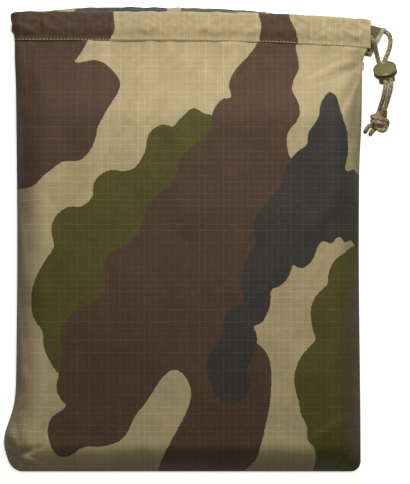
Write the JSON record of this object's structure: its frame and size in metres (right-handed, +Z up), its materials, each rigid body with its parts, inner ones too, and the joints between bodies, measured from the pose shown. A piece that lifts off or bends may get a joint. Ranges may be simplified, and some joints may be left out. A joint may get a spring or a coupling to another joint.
{
  "type": "ghillie suit in stow bag",
  "caption": "Camouflage ghillie suit folded flat in its drawstring stow bag, with a sewn cord casing, a knotted braided drawcord and a press-button cord lock.",
  "frame": {"origin": "on the floor under the middle of the bag, which lies on its back", "axes": "+X towards the side where the drawcord comes out, +Y towards the mouth, +Z up out of the front panel"},
  "size_m": [0.3392, 0.402, 0.0399],
  "materials": {
    "ripstop": "four-colour woodland print on ripstop cloth",
    "thread": "khaki sewing thread",
    "cord": "braided cord, khaki with dark tracers",
    "suit_cloth": "mesh cloth with leaf-cut strips",
    "lock_plastic": "moulded olive plastic, satin",
    "spring_steel": "drawn wire"
  },
  "bodies": {
    "bag": {"back_panel": "ripstop", "front_panel": "ripstop", "cord_casing": "ripstop", "casing_stitching": "thread", "left_seam_allowance": "thread", "right_seam_allowance": "thread", "bottom_seam_allowance": "thread", "slit_bartack": "thread", "folded_trousers": "suit_cloth", "folded_jacket": "suit_cloth", "folded_hood": "suit_cloth", "drawcord_held_run": "cord", "drawcord_front_strand": "cord", "drawcord_back_strand": "cord", "drawcord_knot": "cord", "drawcord_front_tail": "cord", "drawcord_back_tail": "cord"},
    "cord_lock": {"lock_barrel": "lock_plastic", "lock_spring": "spring_steel"},
    "release_button": {"lock_button": "lock_plastic"}
  },
  "joints": [
    {"name": "lock_slide", "type": "slide", "parent": "bag", "child": "cord_lock", "axis": [0.1698, -0.6337, 0.7547], "range_m": [0, 0.003]},
    {"name": "button_press", "type": "slide", "parent": "cord_lock", "child": "release_button", "axis": [0.1953, -0.729, -0.6561], "range_m": [0, 0.0016], "stiffness_N_per_m": 600, "deforming": ["lock_spring"]}
  ]
}
